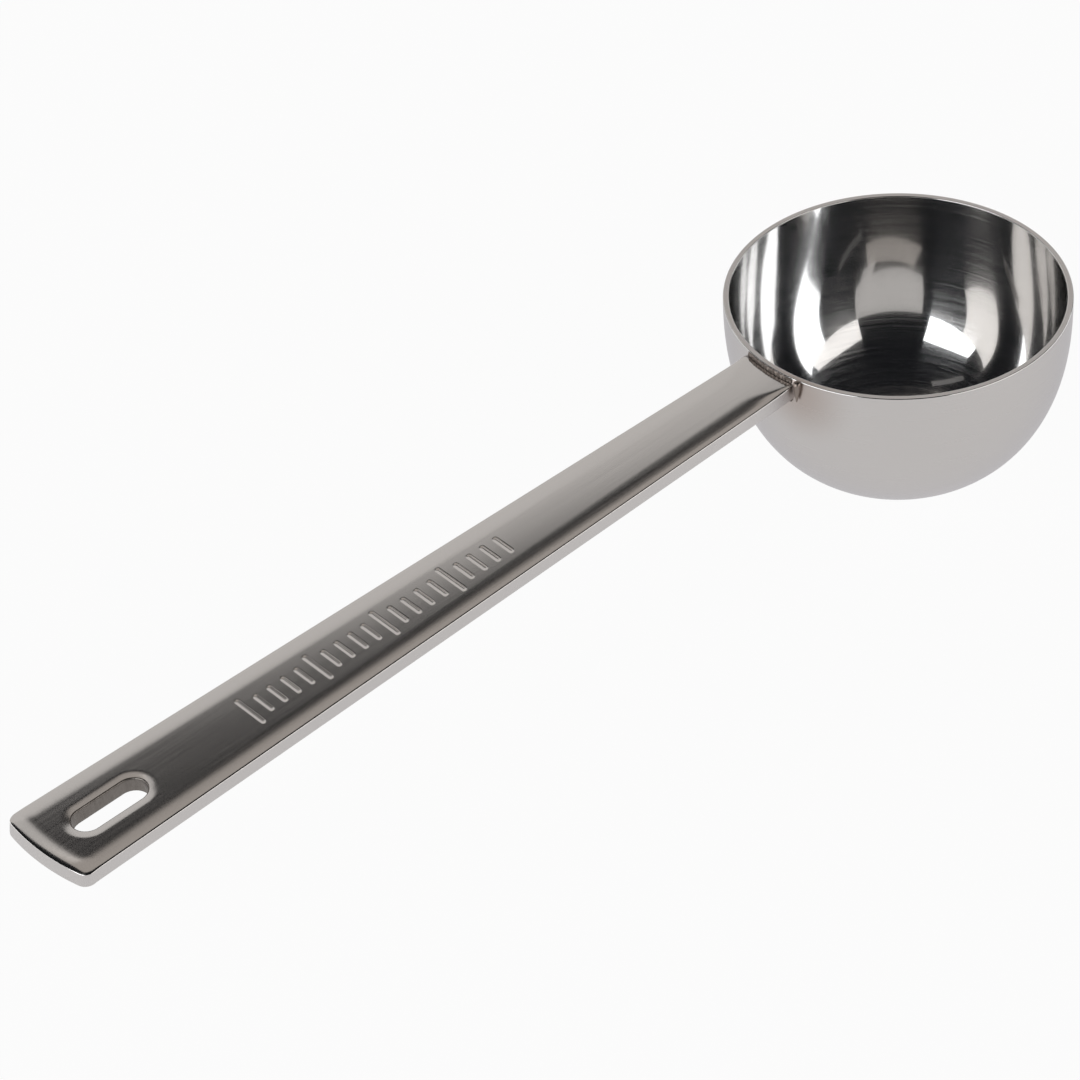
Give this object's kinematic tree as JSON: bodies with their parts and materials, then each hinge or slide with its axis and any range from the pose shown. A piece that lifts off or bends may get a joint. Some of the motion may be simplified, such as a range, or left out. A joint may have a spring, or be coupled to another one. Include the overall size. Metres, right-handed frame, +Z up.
{
  "type": "coffee scoop",
  "caption": "Stainless steel coffee scoop: a deep round bowl with a flat rim, welded to a long tapered handle with a hanging slot, for measuring out ground coffee.",
  "frame": {"origin": "on the table, under the middle of the scoop's bounding box, with the scoop resting on the bottom of its bowl and the tip of its handle", "axes": "+Z up, the handle points along -X and the bowl lies on the +X side, Y across the handle"},
  "size_m": [0.165, 0.0462, 0.0289],
  "materials": {
    "bowl_steel": "stainless steel, satin outside and mirror polished inside",
    "handle_steel": "stainless steel, satin polished along the handle",
    "weld_metal": "stainless weld metal with a brown heat tint"
  },
  "bodies": {
    "root": {"bowl": "bowl_steel", "handle": "handle_steel", "weld_seam": "weld_metal", "weld_bead_left": "weld_metal", "weld_bead_right": "weld_metal"}
  },
  "joints": []
}
